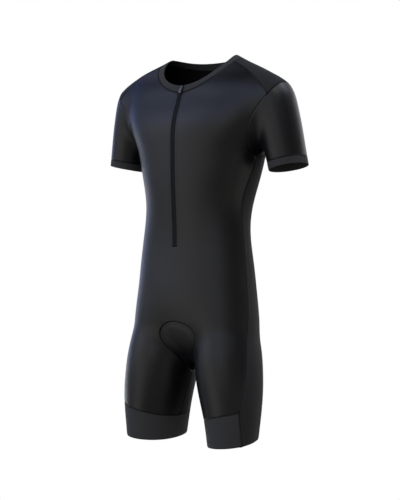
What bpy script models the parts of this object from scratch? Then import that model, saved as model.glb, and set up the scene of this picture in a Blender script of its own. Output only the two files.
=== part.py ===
"""Short-sleeved triathlon suit, hollow and open as it is worn.

Metres, +Z up. The front faces -Y and the wearer's left is +X. The origin lies between the two neck points, at the
height where the shoulders carry the suit. Every cloth piece is a thin wall on one smooth figure of level sections;
its edges are the seams, and neighbours stand a seam gap apart.
"""

import math

import bmesh
import bpy
import numpy as np
from mathutils import Matrix

# ---------------------------------------------------------------- driving sizes
BODY_CLOTH = 0.0016  # thickness of the stretch cloth
BAND_CLOTH = 0.0020  # neckband, cuffs and leg bands are folded double
PAD_CLOTH = 0.0030  # the seat pad with the cloth over it
SEAM_TRIM = 0.0002  # taken off each edge at a seam, so that neighbours stand 0.4 mm apart
MITRE_LIMIT = 0.5  # keeps the trim of a sharp corner short
SHARP_ANGLE = 40.0  # edges that turn by more than this are shaded sharp

# The figure's trunk, section by section: front and back are how far it reaches from the origin's plane, widest is
# where along that depth its half width is, and squareness is 2 for an ellipse.
TRUNK = (
    # height, half_width, front, back, widest, squareness
    (-0.680, 0.040, 0.030, 0.018, -0.008, 2.00),
    (-0.665, 0.085, 0.052, 0.050, -0.014, 1.90),
    (-0.645, 0.120, 0.070, 0.078, -0.020, 1.95),
    (-0.615, 0.140, 0.086, 0.094, -0.024, 2.05),
    (-0.590, 0.147, 0.0945, 0.097, -0.025, 2.15),
    (-0.555, 0.149, 0.0985, 0.096, -0.024, 2.20),
    (-0.510, 0.146, 0.0975, 0.090, -0.021, 2.25),
    (-0.450, 0.141, 0.0935, 0.077, -0.018, 2.25),
    (-0.390, 0.133, 0.0930, 0.071, -0.012, 2.25),
    (-0.330, 0.130, 0.0965, 0.092, -0.002, 2.25),
    (-0.270, 0.143, 0.0995, 0.110, 0.002, 2.25),
    (-0.210, 0.160, 0.1000, 0.117, 0.003, 2.25),
    (-0.165, 0.182, 0.0985, 0.117, 0.005, 2.25),
    (-0.125, 0.196, 0.0875, 0.112, 0.008, 2.25),
    (-0.095, 0.203, 0.0745, 0.105, 0.010, 2.25),
    (-0.072, 0.203, 0.0665, 0.097, 0.012, 2.25),
    (-0.055, 0.192, 0.0570, 0.089, 0.012, 2.25),
    (-0.036, 0.163, 0.0430, 0.078, 0.012, 2.25),
    (-0.015, 0.118, 0.0220, 0.065, 0.012, 2.25),
    (0.000, 0.090, 0.0040, 0.054, 0.012, 2.25),
    (0.020, 0.045, -0.012, 0.038, 0.020, 2.25),
)

# The left thigh, section by section; its top ends inside the trunk.
THIGH = (
    # height, centre_x, centre_y, half_width, half_depth
    (-0.920, 0.1100, -0.0220, 0.0500, 0.0700),
    (-0.860, 0.1066, -0.0220, 0.0553, 0.0740),
    (-0.810, 0.1052, -0.0208, 0.0615, 0.0790),
    (-0.760, 0.1012, -0.0205, 0.0697, 0.0830),
    (-0.700, 0.0935, -0.0175, 0.0750, 0.0880),
    (-0.650, 0.0880, -0.0130, 0.0725, 0.0860),
    (-0.610, 0.0850, -0.0110, 0.0660, 0.0790),
    (-0.570, 0.0815, -0.0105, 0.0585, 0.0700),
    (-0.530, 0.0780, -0.0105, 0.0480, 0.0580),
    (-0.480, 0.0720, -0.0110, 0.0300, 0.0380),
    (-0.440, 0.0680, -0.0110, 0.0150, 0.0200),
)
THIGH_TURN = 22.0  # the thigh's long way points forward and out by this
THIGH_SQUARENESS = 2.1

# The left upper arm, from the shoulder joint down past the cuff.
ARM_TOP = (0.197, 0.012, -0.108)
ARM_END = (0.232, 0.021, -0.290)
ARM = (
    # share_of_length, half_width, half_depth
    (0.00, 0.044, 0.050),
    (0.35, 0.045, 0.050),
    (0.70, 0.043, 0.048),
    (1.00, 0.043, 0.047),
)
ARM_DOME = 0.048  # how far the arm's rounded top rises above its first section
CROTCH_BLEND = 0.030  # how softly the thighs run into the trunk
ARMPIT_BLEND = 0.030

# Side panel seams, as turns from the front about the trunk's or the thigh's own middle.
SIDE_SEAMS = (
    # height, front_turn, back_turn
    (-0.900, 54.0, 112.0),
    (-0.855, 52.0, 112.0),
    (-0.795, 46.5, 110.0),
    (-0.716, 57.5, 111.0),
    (-0.656, 66.0, 113.0),
    (-0.577, 78.0, 116.0),
    (-0.456, 83.0, 122.0),
    (-0.390, 85.5, 126.0),
    (-0.330, 83.0, 124.0),
    (-0.280, 85.0, 118.0),
    (-0.230, 91.0, 112.0),
)
HUB_SHIFT_TOP, HUB_SHIFT_END = -0.53, -0.69  # where the middle moves from the trunk's to the thigh's

# Leg: hem, leg band and inseam.
HEM_HEIGHT = -0.8558
HEM_DIP, HEM_RISE = 0.0060, 0.0050  # the hem runs lower in front and higher outside by these
LEG_BAND_HEIGHT = 0.0641
BAND_DIP, BAND_RISE = 0.0030, 0.0175  # and so does the leg band's upper seam

# The seat pad: a fan of turns about a line across the body, from straight ahead down and round to the back.
PAD_HUB = (0.0, -0.020, -0.610)
PAD_OUTLINE = (
    # turn, half_width
    (-3.0, 0.0430),
    (7.0, 0.0495),
    (26.0, 0.0440),
    (48.0, 0.0285),
    (70.0, 0.0185),
    (98.0, 0.0170),
    (122.0, 0.0270),
    (148.0, 0.0500),
    (160.0, 0.0440),
)
PAD_FRONT_TURN, PAD_BACK_TURN = -14.0, 175.0  # the middle of each rounded end
PAD_END_POWER = 2.4  # how square the ends are rounded
PAD_INSEAM_TURN = 98.0
PAD_TRIM = 0.0006  # the pad is cut a little smaller than its opening
PAD_PUFF = 0.0018  # how far the pad's middle stands proud of its edges
PAD_PUFF_POWER, PAD_PUFF_ROWS = 4, 2  # how flat its top is across, and how many rows it rises over at the ends

# Neckline, as an egg-shaped plan about the neck's middle: the band's open edge and its seam.
NECK_MIDDLE_Y = 0.010
NECK_EDGE = {"side": 0.090, "front": 0.0755, "back": 0.050}
NECK_SEAM = {"side": 0.1070, "front": 0.0815, "back": 0.0600}
NECK_SQUARENESS = 2.3
NECK_DEPTH = -0.14  # neckline points are cast up onto the figure from this height
YOKE_FRONT_TURN, YOKE_BACK_TURN = 77.0, 116.0

# Armhole: it lies on a curved wall, given by how far out it is at each height.
ARMHOLE_WALL = (
    # height, out
    (-0.260, 0.164),
    (-0.235, 0.154),
    (-0.197, 0.156),
    (-0.149, 0.170),
    (-0.117, 0.190),
    (-0.096, 0.208),
    (-0.070, 0.221),
    (-0.040, 0.227),
)
ARMHOLE_MIDDLE = (0.004, -0.150)  # across and up, inside the armhole
ARMHOLE_YOKE_FRONT, ARMHOLE_YOKE_BACK = 38.0, -40.0  # turns from straight up, positive to the front
ARMHOLE_SIDE_FRONT, ARMHOLE_SIDE_BACK = 178.0, 212.0
SLEEVE_START_OUT = 0.008  # rays for the sleeve start this much further out than the armhole's wall

SLEEVE_LENGTH = 0.133  # down the arm's line from its top to the cuff's seam
CUFF_WIDTH = 0.017
CUFF_RISE_OUT, CUFF_RISE_FRONT = 0.0006, 0.0034  # the cuff is higher outside and in front by these
RIGHT_LIFT = 0.010  # the wearer's right shoulder is carried higher than the left
LIFT_OUT_FROM, LIFT_OUT_OVER = 0.05, 0.15  # the lift starts this far out, and is full this much further on
LIFT_UP_FROM, LIFT_UP_OVER = -0.45, 0.20  # and it does likewise from this height upwards

ZIP_BOTTOM = -0.4275
ZIP_HALF_GAP = 0.006
ZIP_STEP = 0.002  # the opening widens to its full width over this height

# Zip slider and pull tab, in a frame of their own: across, up along the tape, and out from it.
SLIDER_DOWN = 0.0065  # from the neckband's top edge to the slider's middle
SLIDER = {"half_width": 0.0039, "top": 0.0027, "bottom": 0.0030, "half_height": 0.0048, "widest": 0.00096}
SLIDER_LOW, SLIDER_HIGH = 0.00045, 0.0024
BRIDGE = {"half_width": 0.0008, "up": 0.0034, "down": -0.0026, "out": 0.0051, "wall": 0.0009, "sunk": 0.0001}
PIVOT_UP, PIVOT_OUT = 0.0002, 0.0033  # the tab's bar, inside the bridge
BAR_RADIUS = 0.0004
TAB = {"half_width": 0.0034, "neck": 0.0024, "length": 0.0135, "thickness": 0.0009, "taper": 0.0006}
TAB_EYE = {"half_width": 0.0012, "end": -0.0038}
TAB_HOLE = {"along": -0.0078, "radius": 0.0017}

# Heights that the rows of the seat run between, at the side.
SEAT_LOW, SEAT_HIGH = -0.700, -0.575
SHOULDER_HUB = (0.085, 0.012, -0.130)  # rows over the shoulder are fanned from here

# Rows and columns of the cloth grids.
LEG_ROWS, PAD_SIDE_ROWS, PAD_END_ROWS = 5, 8, 4
BELLY_ROWS, RIB_ROWS = 7, 9
CHEST_ROWS, NECK_ROWS = 6, 5
BAND_ROWS = 3
PANEL_COLUMNS, SIDE_COLUMNS, YOKE_ROWS = 8, 4, 5
SLEEVE_ROWS = 7

# How finely the figure is measured.
BODY_REACH, ARMHOLE_REACH, ARM_REACH = 0.30, 0.20, 0.12  # the farthest that each sort of path is followed
PATH_MARKS, PATH_HALVINGS = 46, 18
SLOPE_STEP = 0.0002
ARMHOLE_MARKS = 60
TINY = 1e-9  # keeps divisions away from zero

COLOURS = {
    # name: colour, roughness, metallic
    "gloss_cloth": ((0.012, 0.013, 0.016), 0.36, 0.0),
    "matt_cloth": ((0.020, 0.020, 0.021), 0.72, 0.0),
    "zip_tape": ((0.006, 0.006, 0.008), 0.60, 0.0),
    "zip_metal": ((0.45, 0.45, 0.46), 0.32, 1.0),
}


# ---------------------------------------------------------------- curves through tables
def smooth_curve(knots, values):
    """A natural cubic spline through the values, held level outside the knots."""
    knots = np.asarray(knots, float)
    values = np.asarray(values, float)
    steps = np.diff(knots)
    system = np.eye(len(knots))
    bends = np.zeros(len(knots))
    for i in range(1, len(knots) - 1):
        system[i, i - 1 : i + 2] = steps[i - 1], 2 * (steps[i - 1] + steps[i]), steps[i]
        bends[i] = 6 * ((values[i + 1] - values[i]) / steps[i] - (values[i] - values[i - 1]) / steps[i - 1])
    bends = np.linalg.solve(system, bends)

    def at(where):
        where = np.clip(where, knots[0], knots[-1])
        i = np.clip(np.searchsorted(knots, where) - 1, 0, len(steps) - 1)
        step, ahead, behind = steps[i], knots[i + 1] - where, where - knots[i]
        bent = (bends[i] * ahead**3 + bends[i + 1] * behind**3) / (6 * step)
        level = (values[i] / step - bends[i] * step / 6) * ahead
        return bent + level + (values[i + 1] / step - bends[i + 1] * step / 6) * behind

    return at


def columns_of(table):
    """One smooth curve for each column after the first, against the first."""
    rows = np.array(table, float)
    return [smooth_curve(rows[:, 0], rows[:, c]) for c in range(1, rows.shape[1])]


def smooth_step(share):
    share = np.clip(share, 0, 1)
    return share * share * (3 - 2 * share)


trunk_half_width, trunk_front, trunk_back, trunk_widest, trunk_squareness = columns_of(TRUNK)
thigh_x, thigh_y, thigh_half_width, thigh_half_depth = columns_of(THIGH)
arm_half_width, arm_half_depth = columns_of(ARM)
side_front_turn, side_back_turn = columns_of(SIDE_SEAMS)
pad_half_width = columns_of(PAD_OUTLINE)[0]
armhole_out = columns_of(ARMHOLE_WALL)[0]

ARM_LENGTH = math.dist(ARM_TOP, ARM_END)
ARM_LINE = (np.array(ARM_END) - ARM_TOP) / ARM_LENGTH
ARM_OUTWARD = np.cross(ARM_LINE, (0, 1, 0)) / np.linalg.norm(np.cross(ARM_LINE, (0, 1, 0)))
ARM_FORWARD = np.cross(ARM_LINE, ARM_OUTWARD)


# ---------------------------------------------------------------- the figure inside the suit
def outside_oval(across, along, half_width, half_depth, squareness):
    """How far a point lies outside an oval, measured away from the oval's middle; negative inside."""
    distance = np.hypot(across, along) + TINY
    share = np.abs(across / half_width) ** squareness + np.abs(along / half_depth) ** squareness
    return distance - distance / (share ** (1 / squareness) + TINY)


def outside_trunk(p):
    z = p[..., 2]
    along = p[..., 1] - trunk_widest(z)
    half_depth = np.where(along < 0, trunk_front(z) + trunk_widest(z), trunk_back(z) - trunk_widest(z))
    tube = outside_oval(p[..., 0], along, trunk_half_width(z), half_depth, trunk_squareness(z))
    return np.maximum(tube, np.maximum(z - TRUNK[-1][0], TRUNK[0][0] - z))


def outside_thigh(p):
    z = p[..., 2]
    turn = math.radians(THIGH_TURN)
    x, y = p[..., 0] - thigh_x(z), p[..., 1] - thigh_y(z)
    across, along = x * math.cos(turn) + y * math.sin(turn), y * math.cos(turn) - x * math.sin(turn)
    tube = outside_oval(across, along, thigh_half_width(z), thigh_half_depth(z), THIGH_SQUARENESS)
    return np.maximum(tube, z - THIGH[-1][0])


def outside_arm(p):
    """The arm is a tube of ovals about its own line, with a rounded top inside the shoulder."""
    along = (p - ARM_TOP) @ ARM_LINE
    share = np.clip(along / ARM_LENGTH, 0, 1)
    across, ahead, above = (p - ARM_TOP) @ ARM_OUTWARD, (p - ARM_TOP) @ ARM_FORWARD, np.maximum(-along, 0)
    distance = np.sqrt(across**2 + ahead**2 + above**2) + TINY
    oval = (across / arm_half_width(share)) ** 2 + (ahead / arm_half_depth(share)) ** 2 + (above / ARM_DOME) ** 2
    return distance - distance / np.sqrt(oval + TINY)


def soft_union(a, b, blend):
    """The nearer of two distances, rounded where they are within the blend of each other."""
    near = np.maximum(blend - np.abs(a - b), 0) / blend
    return np.minimum(a, b) - near * near * blend / 4


def outside_figure(p):
    """How far points lie outside the whole figure; both sides are alike."""
    p = np.array(p, float)
    p[..., 0] = np.abs(p[..., 0])
    lower = soft_union(outside_trunk(p), outside_thigh(p), CROTCH_BLEND)
    return soft_union(lower, outside_arm(p), ARMPIT_BLEND)


def normals_at(p):
    """Unit normals of the figure, from its slope in each direction."""
    p = np.asarray(p, float)
    slope = np.stack([outside_figure(p + d) - outside_figure(p - d) for d in SLOPE_STEP * np.eye(3)], axis=-1)
    return slope / np.linalg.norm(slope, axis=-1, keepdims=True)


def first_exit(path, far):
    """The points where paths that start inside first leave the figure. path(s) gives each path's point at s."""
    marks = np.linspace(0, far, PATH_MARKS)
    outside = np.stack([outside_figure(path(s)) > 0 for s in marks], axis=-1)
    outside[..., -1] = True
    first = np.maximum(np.argmax(outside, axis=-1), 1)
    low, high = marks[first - 1], marks[first]
    for _ in range(PATH_HALVINGS):
        middle = (low + high) / 2
        out = outside_figure(path(middle)) > 0
        low, high = np.where(out, low, middle), np.where(out, middle, high)
    return path((low + high) / 2)


def cast(origins, directions, far=BODY_REACH):
    """Where straight rays leave the figure."""
    origins, directions = np.broadcast_arrays(np.asarray(origins, float), np.asarray(directions, float))
    directions = directions / np.linalg.norm(directions, axis=-1, keepdims=True)
    return first_exit(lambda s: origins + np.asarray(s)[..., None] * directions, far)


def hub(z):
    """The middle that level rays start from: the trunk's, and lower down the left thigh's."""
    share = smooth_step((HUB_SHIFT_TOP - z) / (HUB_SHIFT_TOP - HUB_SHIFT_END))
    trunk_y = (trunk_back(z) - trunk_front(z)) / 2
    return np.stack([share * thigh_x(z), trunk_y + share * (thigh_y(z) - trunk_y), z + 0 * share], axis=-1)


def round_body(z, turn):
    """Points of the figure at given heights and turns from the front, in degrees, towards the wearer's left."""
    z, turn = np.broadcast_arrays(np.asarray(z, float), np.radians(turn))
    return cast(hub(z), np.stack([np.sin(turn), -np.cos(turn), 0 * turn], axis=-1))


def turn_of(points):
    """The turn of points as seen from the hub at their own height, in degrees."""
    off = points - hub(points[..., 2])
    return np.degrees(np.arctan2(off[..., 0], -off[..., 1]))


def fan_row(start, end, middle, count):
    """A row of cloth points from start to end in one plane, by rays from a point inside."""
    a, b = start - middle, end - middle
    a, b = a / np.linalg.norm(a), b / np.linalg.norm(b)
    spread = math.acos(np.clip(a @ b, -1, 1))
    share = np.linspace(0, 1, count + 1)[:, None]
    directions = (np.sin((1 - share) * spread) * a + np.sin(share * spread) * b) / math.sin(spread)
    row = cast(middle, directions)
    row[0], row[-1] = start, end
    return row


def respaced(points, count):
    """A line of points taken again at even steps along its length."""
    lengths = np.concatenate([[0], np.cumsum(np.linalg.norm(np.diff(points, axis=0), axis=1))])
    wanted = np.linspace(0, lengths[-1], count + 1)
    return np.stack([np.interp(wanted, lengths, points[:, c]) for c in range(3)], axis=-1)


# ---------------------------------------------------------------- seams
def pad_points(turns, across):
    """Points of the figure round the seat: rays in planes fore and aft, started off to the side by across."""
    turns, across = np.broadcast_arrays(np.radians(turns), np.asarray(across, float))
    origins = np.array(PAD_HUB) + np.stack([across, 0 * across, 0 * across], axis=-1)
    return cast(origins, np.stack([0 * turns, -np.cos(turns), -np.sin(turns)], axis=-1))


def pad_end(corner_turn, middle_turn, shares):
    """The rounded end of the pad, at shares of the way from its middle out to a corner."""
    turns = middle_turn + (corner_turn - middle_turn) * np.abs(shares) ** PAD_END_POWER
    return pad_points(turns, pad_half_width(corner_turn) * shares)


def neckline(sizes, turn):
    """Points of an egg-shaped neckline at turns from the front, set down on the figure."""
    turn = np.radians(turn)
    depth = np.where(np.cos(turn) > 0, sizes["front"], sizes["back"])
    power = 2 / NECK_SQUARENESS
    x = sizes["side"] * np.sign(np.sin(turn)) * np.abs(np.sin(turn)) ** power
    y = NECK_MIDDLE_Y - depth * np.sign(np.cos(turn)) * np.abs(np.cos(turn)) ** power
    return cast(np.stack([x, y, np.full_like(x, NECK_DEPTH)], axis=-1), (0, 0, 1))


def neck_start(sizes):
    """The turn at which the neckline meets the zip."""
    return math.degrees(math.asin((ZIP_HALF_GAP / sizes["side"]) ** (NECK_SQUARENESS / 2)))


def neck_row(sizes):
    """The left half of the neckline, with the columns that panels, yoke and neckband share."""
    front = np.linspace(neck_start(sizes), YOKE_FRONT_TURN, NECK_ROWS + 1)
    yoke = np.linspace(YOKE_FRONT_TURN, YOKE_BACK_TURN, YOKE_ROWS + 1)
    back = np.linspace(YOKE_BACK_TURN, 180, NECK_ROWS + 1)
    return neckline(sizes, np.concatenate([front, yoke[1:], back[1:]]))


def armhole(turn):
    """Points of the left armhole at turns from straight up, positive towards the front."""
    turn = np.radians(np.asarray(turn, float))
    y0, z0 = ARMHOLE_MIDDLE

    def path(s):
        z = z0 + s * np.cos(turn)
        return np.stack([armhole_out(z), y0 - s * np.sin(turn), z], axis=-1)

    return first_exit(path, ARMHOLE_REACH)


def armhole_part(first, last, count):
    """Part of the armhole between two turns, in even steps."""
    return respaced(armhole(np.linspace(first, last, ARMHOLE_MARKS)), count)


def cuff_ring(turns, distance):
    """A ring round the arm at turns from straight out, a distance down the arm from its top."""
    turns = np.radians(turns)[:, None]
    rise = CUFF_RISE_OUT * np.cos(turns) + CUFF_RISE_FRONT * np.sin(turns)
    middle = ARM_TOP + (distance - rise) * ARM_LINE
    return cast(middle, np.cos(turns) * ARM_OUTWARD + np.sin(turns) * ARM_FORWARD, ARM_REACH)


def leg_row(share, turns):
    """Points round the leg at a share of the way from the hem up to the leg band's seam."""
    dip, rise = HEM_DIP + share * (BAND_DIP - HEM_DIP), HEM_RISE + share * (BAND_RISE - HEM_RISE)
    angle = np.radians(turns)
    height = HEM_HEIGHT + share * LEG_BAND_HEIGHT - dip * np.cos(angle) + rise * np.sin(angle)
    return round_body(height, turns)


def side_turn_at(share, turn_of_height):
    """The side seam's turn at a share of the way up the leg band."""
    return float(turn_of_height(HEM_HEIGHT + share * LEG_BAND_HEIGHT))


# ---------------------------------------------------------------- cloth pieces
def grid_faces(grid, closed):
    """Quads between the rows of a grid, wound so that they face out of the figure."""
    rows, columns = grid.shape[:2]
    steps = np.arange(columns if closed else columns - 1)
    after = (steps + 1) % columns
    quads = np.stack([steps, after, columns + after, columns + steps], axis=1)
    quads = (columns * np.arange(rows - 1)[:, None, None] + quads).reshape(-1, 4)
    corners = grid.reshape(-1, 3)[quads]
    area = np.cross(corners[:, 2] - corners[:, 0], corners[:, 3] - corners[:, 1])
    facing = (area * normals_at(corners.mean(axis=1))).sum()
    return quads if facing > 0 else quads[:, ::-1]


def joined_skin(grids, closed=False):
    """Points and faces of several grids, with points that meet made one, and the figure's normals there."""
    points = np.concatenate([grid.reshape(-1, 3) for grid in grids])
    starts = np.cumsum([0] + [grid.shape[0] * grid.shape[1] for grid in grids])
    quads = np.concatenate([start + grid_faces(grid, closed) for start, grid in zip(starts, grids)])
    _, first, index = np.unique(np.round(points, 6) + 0.0, axis=0, return_index=True, return_inverse=True)
    faces = [list(dict.fromkeys(face)) for face in index.reshape(-1)[quads].tolist()]
    return points[first], [face for face in faces if len(face) > 2], normals_at(points[first])


def open_edges(faces):
    edges = {(i, j) for face in faces for i, j in zip(face, face[1:] + face[:1])}
    return [(i, j) for i, j in sorted(edges) if (j, i) not in edges]


def drawn_in(points, faces, outward, trim):
    """The points with every open edge drawn in by the trim."""
    inward = {}
    for i, j in open_edges(faces):
        along = points[j] - points[i]
        for k in (i, j):
            way = np.cross(outward[k], along)
            inward.setdefault(k, []).append(way / np.linalg.norm(way))
    moved = points.copy()
    for k, (a, b) in inward.items():
        moved[k] += trim * (a + b) / max(1 + a @ b, MITRE_LIMIT)
    return moved


def wall_mesh(name, points, faces, outward, thickness):
    """A closed wall: the skin, the same skin a thickness further in, and a rim along every open edge."""
    count = len(points)
    corners = np.concatenate([points, points - thickness * outward])
    walls = [list(face) for face in faces] + [[count + i for i in reversed(face)] for face in faces]
    walls += [[j, i, count + i, count + j] for i, j in open_edges(faces)]
    mesh = bpy.data.meshes.new(name)
    mesh.from_pydata([tuple(p) for p in corners], [], walls)
    mesh.validate()
    return mesh


def material(name):
    """A plain surface of the named colour."""
    if name in bpy.data.materials:
        return bpy.data.materials[name]
    made = bpy.data.materials.new(name)
    made.use_nodes = True
    colour, roughness, metallic = COLOURS[name]
    shader = made.node_tree.nodes["Principled BSDF"]
    shader.inputs["Base Color"].default_value = (*colour, 1.0)
    shader.inputs["Roughness"].default_value = roughness
    shader.inputs["Metallic"].default_value = metallic
    return made


def place(name, mesh, colour):
    """Puts a mesh in the scene as the named piece."""
    mesh.materials.clear()
    mesh.materials.append(material(colour))
    mesh.shade_smooth()
    mesh.set_sharp_from_angle(angle=math.radians(SHARP_ANGLE))
    made = bpy.data.objects.new(name, mesh)
    bpy.context.scene.collection.objects.link(made)
    return made


def posed(points):
    """Points moved into the pose: the right shoulder and sleeve are carried up."""
    points = np.array(points, float)
    aside = smooth_step((-points[..., 0] - LIFT_OUT_FROM) / LIFT_OUT_OVER)
    up = smooth_step((points[..., 2] - LIFT_UP_FROM) / LIFT_UP_OVER)
    points[..., 2] += RIGHT_LIFT * aside * up
    return points


def cloth(name, grids, thickness, colour, closed=False, trim=SEAM_TRIM):
    """Makes one cloth piece from the grids of its outer skin."""
    points, faces, outward = joined_skin(grids, closed)
    points = posed(drawn_in(points, faces, outward, trim))
    place(name, wall_mesh(name, points, faces, outward, thickness), colour)


def mirrored(grid):
    return grid * (-1, 1, 1)


def both_sides(name, grid, thickness, colour, **more):
    cloth(f"{name}_left", [grid], thickness, colour, **more)
    cloth(f"{name}_right", [mirrored(grid)], thickness, colour, **more)


def both_halves(name, grid, thickness, colour, **more):
    cloth(name, [grid, mirrored(grid)], thickness, colour, **more)


# ---------------------------------------------------------------- layout
PARTS = {
    # part: way out from the middle, side seam, leg's inner turn, armhole turns of the yoke and the side panel
    "front": (-1, side_front_turn, -90.0, ARMHOLE_YOKE_FRONT, ARMHOLE_SIDE_FRONT),
    "back": (1, side_back_turn, 270.0, ARMHOLE_YOKE_BACK, ARMHOLE_SIDE_BACK - 360),
}


def side_rail(part):
    """The side panel's seam with the front or back, from the leg band up to the armhole."""
    _, turn, _, _, armpit_turn = PARTS[part]
    armpit = armhole(np.array([armpit_turn]))[0]
    low = leg_row(1.0, np.array([side_turn_at(1.0, turn)]))[0]
    heights = np.concatenate([
        np.linspace(low[2], SEAT_LOW, LEG_ROWS + 1)[:-1],
        np.linspace(SEAT_LOW, SEAT_HIGH, PAD_SIDE_ROWS + PAD_END_ROWS + 1)[:-1],
        np.linspace(SEAT_HIGH, armpit[2], BELLY_ROWS + RIB_ROWS + 2),
    ])
    line = round_body(heights, turn(heights))
    line[0], line[-1] = low, armpit
    return line


def middle_rail(part):
    """The inner edge of the front's or back's left half: inseam, pad, centre line or zip, and neckline."""
    way, _, inner_turn, _, armpit_turn = PARTS[part]
    front = part == "front"
    corner_turn = PAD_OUTLINE[0][0] if front else PAD_OUTLINE[-1][0]
    turns = np.linspace(PAD_INSEAM_TURN, corner_turn, PAD_SIDE_ROWS + 1)
    pad_side = pad_points(turns, pad_half_width(turns))
    end = pad_end(corner_turn, PAD_FRONT_TURN if front else PAD_BACK_TURN, np.linspace(1, 0, PAD_END_ROWS + 1))

    top = pad_side[0]
    start = leg_row(1.0, np.array([inner_turn]))[0]
    heights = np.linspace(start[2], top[2], LEG_ROWS + 1)
    top_turn = turn_of(top) % 360 if inner_turn > 0 else turn_of(top)
    inseam = round_body(heights, np.linspace(inner_turn, top_turn, LEG_ROWS + 1))
    inseam[0], inseam[-1] = start, top

    neck = neckline(NECK_SEAM, np.linspace(neck_start(NECK_SEAM) if front else 180.0,
                                           YOKE_FRONT_TURN if front else YOKE_BACK_TURN, NECK_ROWS + 1))
    armpit_height = armhole(np.array([armpit_turn]))[0][2]
    if front:
        belly = np.linspace(end[-1][2], ZIP_BOTTOM, BELLY_ROWS + 1)[1:]
        trunk = np.concatenate([belly, np.linspace(ZIP_BOTTOM + ZIP_STEP, armpit_height, RIB_ROWS + 1)])
    else:
        trunk = np.linspace(end[-1][2], armpit_height, BELLY_ROWS + RIB_ROWS + 2)[1:]
    heights = np.concatenate([trunk, np.linspace(armpit_height, neck[0][2], CHEST_ROWS + 1)[1:-1]])
    across = np.where((heights > ZIP_BOTTOM + ZIP_STEP / 2) & front, ZIP_HALF_GAP, 0.0)
    middle = cast(np.stack([across, 0 * heights, heights], axis=-1), (0, way, 0))
    return np.concatenate([inseam, pad_side[1:], end[1:], middle, neck])


def panel_half(part):
    """The left half of the front or back: rows from the leg band up to the yoke."""
    _, turn, inner_turn, yoke_turn, armpit_turn = PARTS[part]
    middle, side = middle_rail(part), side_rail(part)
    upper = armhole_part(armpit_turn, yoke_turn, CHEST_ROWS + NECK_ROWS)
    outer = np.concatenate([side, upper[1:]])
    rows = [leg_row(1.0, np.linspace(inner_turn, side_turn_at(1.0, turn), PANEL_COLUMNS + 1))]
    for i in range(1, len(outer)):
        rise = smooth_step((i - len(side) + 1) / (CHEST_ROWS + NECK_ROWS))
        inside = hub(min((middle[i][2] + outer[i][2]) / 2, side[-1][2]))
        inside += (np.array(SHOULDER_HUB) - inside) * rise
        rows.append(fan_row(middle[i], outer[i], inside, PANEL_COLUMNS))
    return np.array(rows)


def side_panel(front, back):
    """From the hem up to the armhole, between the two side seams."""
    rows = []
    for share in np.linspace(0, 1, BAND_ROWS + 1):
        turns = [side_turn_at(share, PARTS[part][1]) for part in ("front", "back")]
        rows.append(leg_row(share, np.linspace(*turns, SIDE_COLUMNS + 1)))
    count = len(side_rail("front"))
    for start, end in list(zip(front[:count, -1], back[:count, -1]))[1:-1]:
        rows.append(fan_row(start, end, hub((start[2] + end[2]) / 2), SIDE_COLUMNS))
    rows.append(armhole_part(ARMHOLE_SIDE_FRONT, ARMHOLE_SIDE_BACK, SIDE_COLUMNS))
    return np.array(rows)


def leg_band():
    """Round the leg from one side seam to the other, by way of the inseam."""
    rows = []
    for share in np.linspace(0, 1, BAND_ROWS + 1):
        halves = []
        for part in ("front", "back"):
            _, turn, inner_turn, _, _ = PARTS[part]
            halves.append(leg_row(share, np.linspace(side_turn_at(share, turn), inner_turn, PANEL_COLUMNS + 1)))
        rows.append(np.concatenate([halves[0], halves[1][-2::-1]]))
    return np.array(rows)


def yoke(front, back):
    """Over the shoulder, between the front's and the back's top edges."""
    neck = neckline(NECK_SEAM, np.linspace(YOKE_FRONT_TURN, YOKE_BACK_TURN, YOKE_ROWS + 1))
    arm = armhole_part(ARMHOLE_YOKE_FRONT, ARMHOLE_YOKE_BACK, YOKE_ROWS)
    rows = [fan_row(start, end, np.array(SHOULDER_HUB), PANEL_COLUMNS) for start, end in zip(neck, arm)]
    rows[0], rows[-1] = front[-1], back[-1]
    return np.array(rows)


def armhole_loop():
    rows = CHEST_ROWS + NECK_ROWS
    stretches = (
        armhole_part(ARMHOLE_SIDE_FRONT, ARMHOLE_YOKE_FRONT, rows),
        armhole_part(ARMHOLE_YOKE_FRONT, ARMHOLE_YOKE_BACK, YOKE_ROWS),
        armhole_part(ARMHOLE_YOKE_BACK, ARMHOLE_SIDE_BACK - 360, rows),
        armhole_part(ARMHOLE_SIDE_BACK, ARMHOLE_SIDE_FRONT, SIDE_COLUMNS),
    )
    return np.concatenate([stretch[:-1] for stretch in stretches])


def sleeve_and_cuff():
    """Rings from the armhole down to the cuff's seam, and on to its hem."""
    loop = armhole_loop()
    turns = np.degrees(np.arctan2(ARMHOLE_MIDDLE[0] - loop[:, 1], loop[:, 2] - ARMHOLE_MIDDLE[1]))
    seam = cuff_ring(turns, SLEEVE_LENGTH)
    first = np.array([float(armhole_out(ARMHOLE_MIDDLE[1])) + SLEEVE_START_OUT, *ARMHOLE_MIDDLE])
    last = ARM_TOP + SLEEVE_LENGTH * ARM_LINE
    rings = [loop]
    for share in np.linspace(0, 1, SLEEVE_ROWS + 1)[1:-1]:
        inside = first + (last - first) * share
        rings.append(cast(inside, loop + (seam - loop) * share - inside, ARM_REACH))
    rings.append(seam)
    cuff = [cuff_ring(turns, SLEEVE_LENGTH + CUFF_WIDTH * share) for share in (0, 0.5, 1)]
    return np.array(rings), np.array(cuff)


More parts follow.
